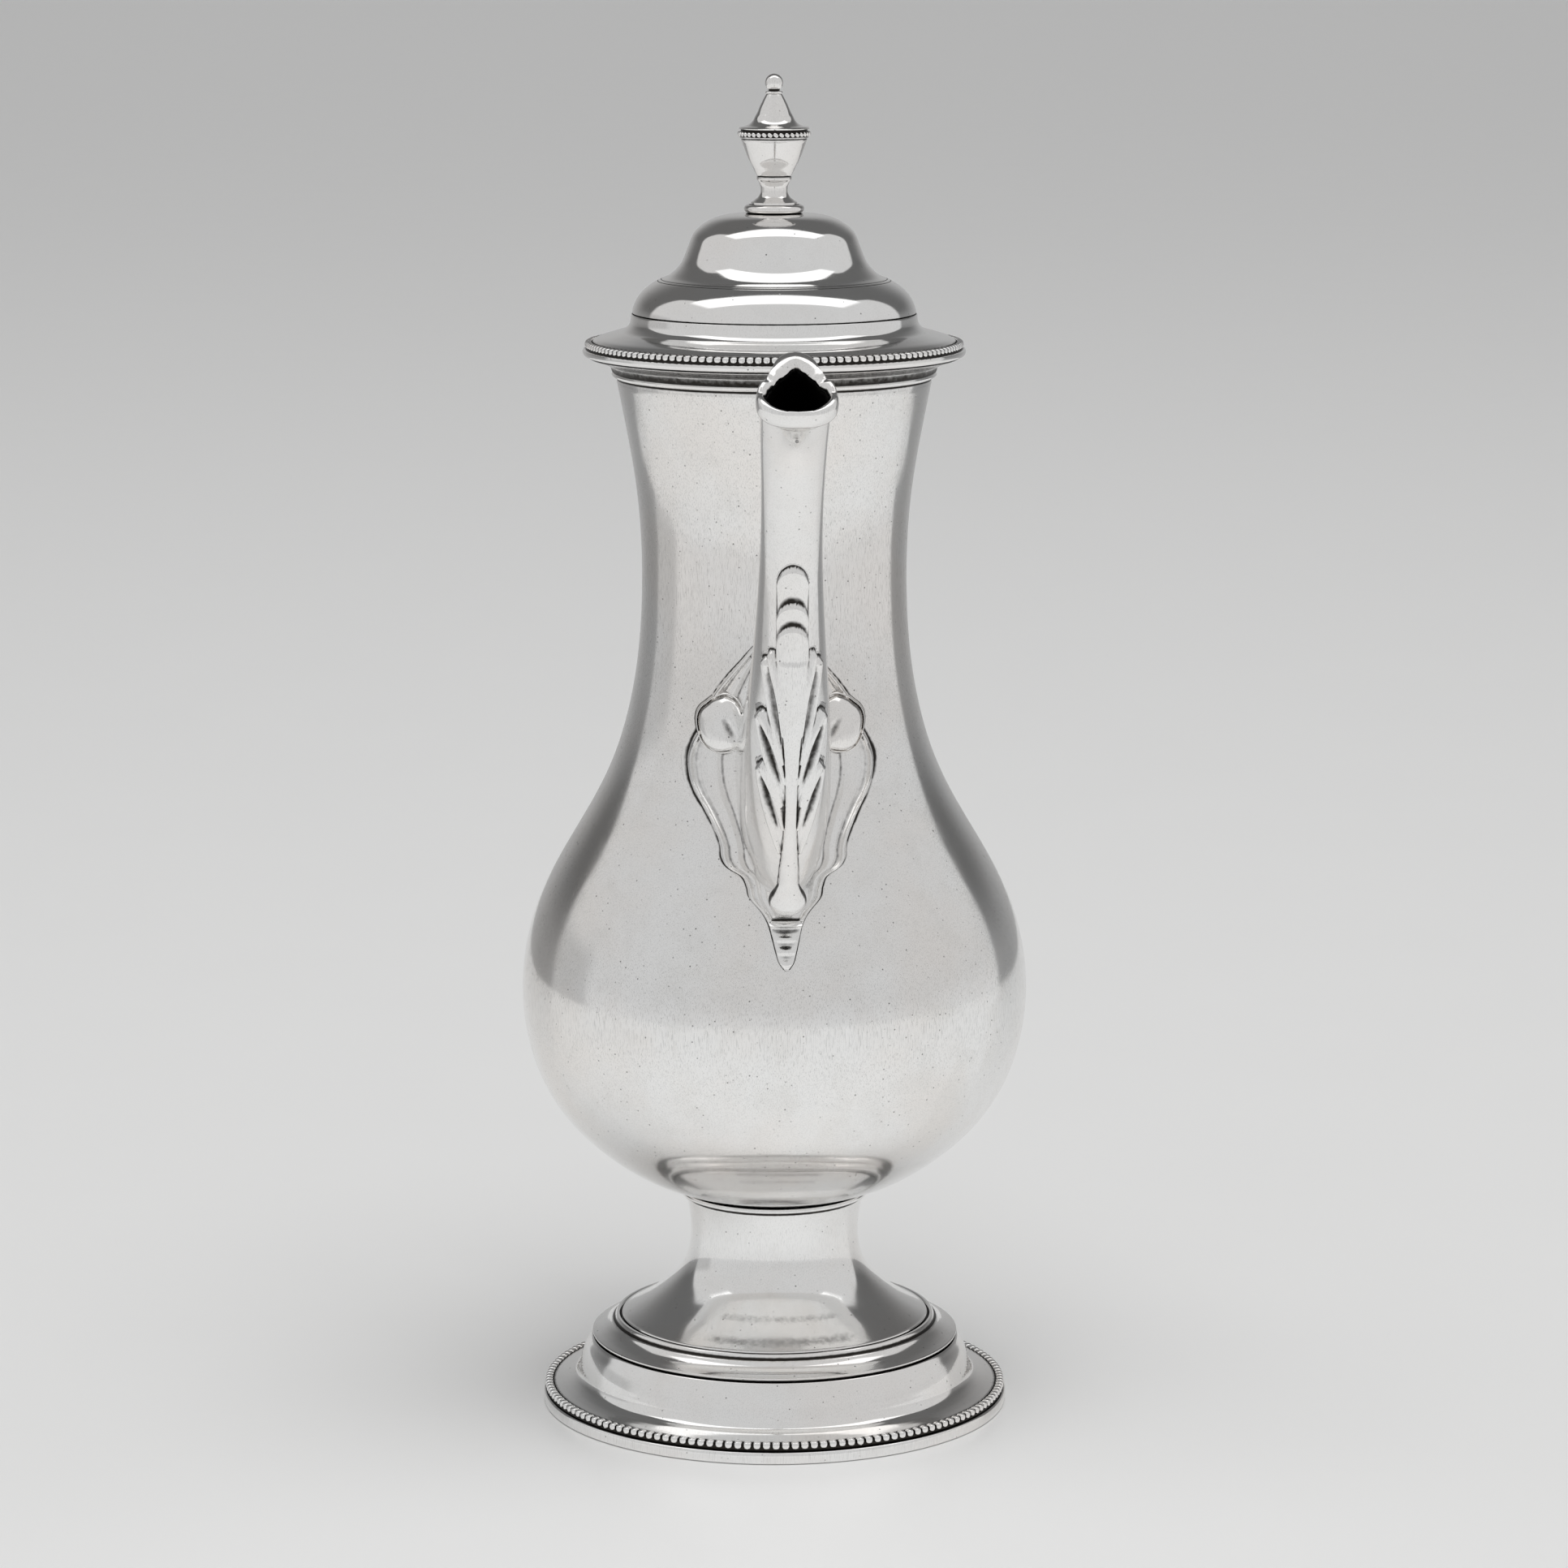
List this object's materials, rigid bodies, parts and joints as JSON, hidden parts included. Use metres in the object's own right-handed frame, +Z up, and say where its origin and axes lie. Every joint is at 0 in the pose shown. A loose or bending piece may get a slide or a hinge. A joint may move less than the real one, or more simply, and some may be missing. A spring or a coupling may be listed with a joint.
{
  "type": "coffee pot",
  "caption": "Tall baluster coffee pot on a stepped round foot, with a curved spout, a scrolled wooden handle and a hinged domed lid with an urn finial.",
  "frame": {"origin": "centre of the foot's flat bottom, on the pot's upright axis", "axes": "+Z up along the pot's axis, +Y towards the handle, -Y towards the spout, +X across, to the right of someone who faces the spout end looking along +Y"},
  "size_m": [0.118, 0.2183, 0.31],
  "materials": {
    "polished_silver": "hand-polished silver with a soft patina and fine scratches",
    "beaded_silver": "bright beads with dark tarnish between them",
    "chased_silver": "bright cast and chased ornament with dark tarnish in its hollows",
    "silver_fasteners": "filed silver, slightly dull",
    "stained_wood": "dark stained fruitwood, waxed"
  },
  "bodies": {
    "pot": {"body_shell": "polished_silver", "neck_rim_moulding": "polished_silver", "foot_stem": "polished_silver", "stem_joint_wire": "beaded_silver", "foot_moulding": "polished_silver", "foot_dome": "polished_silver", "foot_bead_border": "beaded_silver", "foot_rim_band": "polished_silver", "spout": "polished_silver", "spout_root_plate": "chased_silver", "spout_ear_left": "chased_silver", "spout_ear_right": "chased_silver", "spout_leaf": "chased_silver", "handle_wood": "stained_wood", "handle_upper_socket": "polished_silver", "handle_lower_socket": "polished_silver", "handle_upper_pin": "silver_fasteners", "handle_lower_pin": "silver_fasteners", "hinge_body_leaf": "polished_silver", "hinge_pin": "silver_fasteners"},
    "lid": {"lid_flange": "polished_silver", "lid_dome": "polished_silver", "lid_bead_border": "beaded_silver", "lid_bezel": "polished_silver", "hinge_lid_leaf": "polished_silver", "finial_base": "polished_silver", "finial_urn": "polished_silver", "finial_bead_band": "beaded_silver", "finial_cap": "polished_silver", "finial_stud": "silver_fasteners", "finial_nut": "silver_fasteners"}
  },
  "joints": [
    {"name": "lid_hinge", "type": "hinge", "parent": "pot", "child": "lid", "pos_m": [0, 0.047, 0.2475], "axis": [-1, 0, 0], "range_deg": [0, 100]}
  ]
}
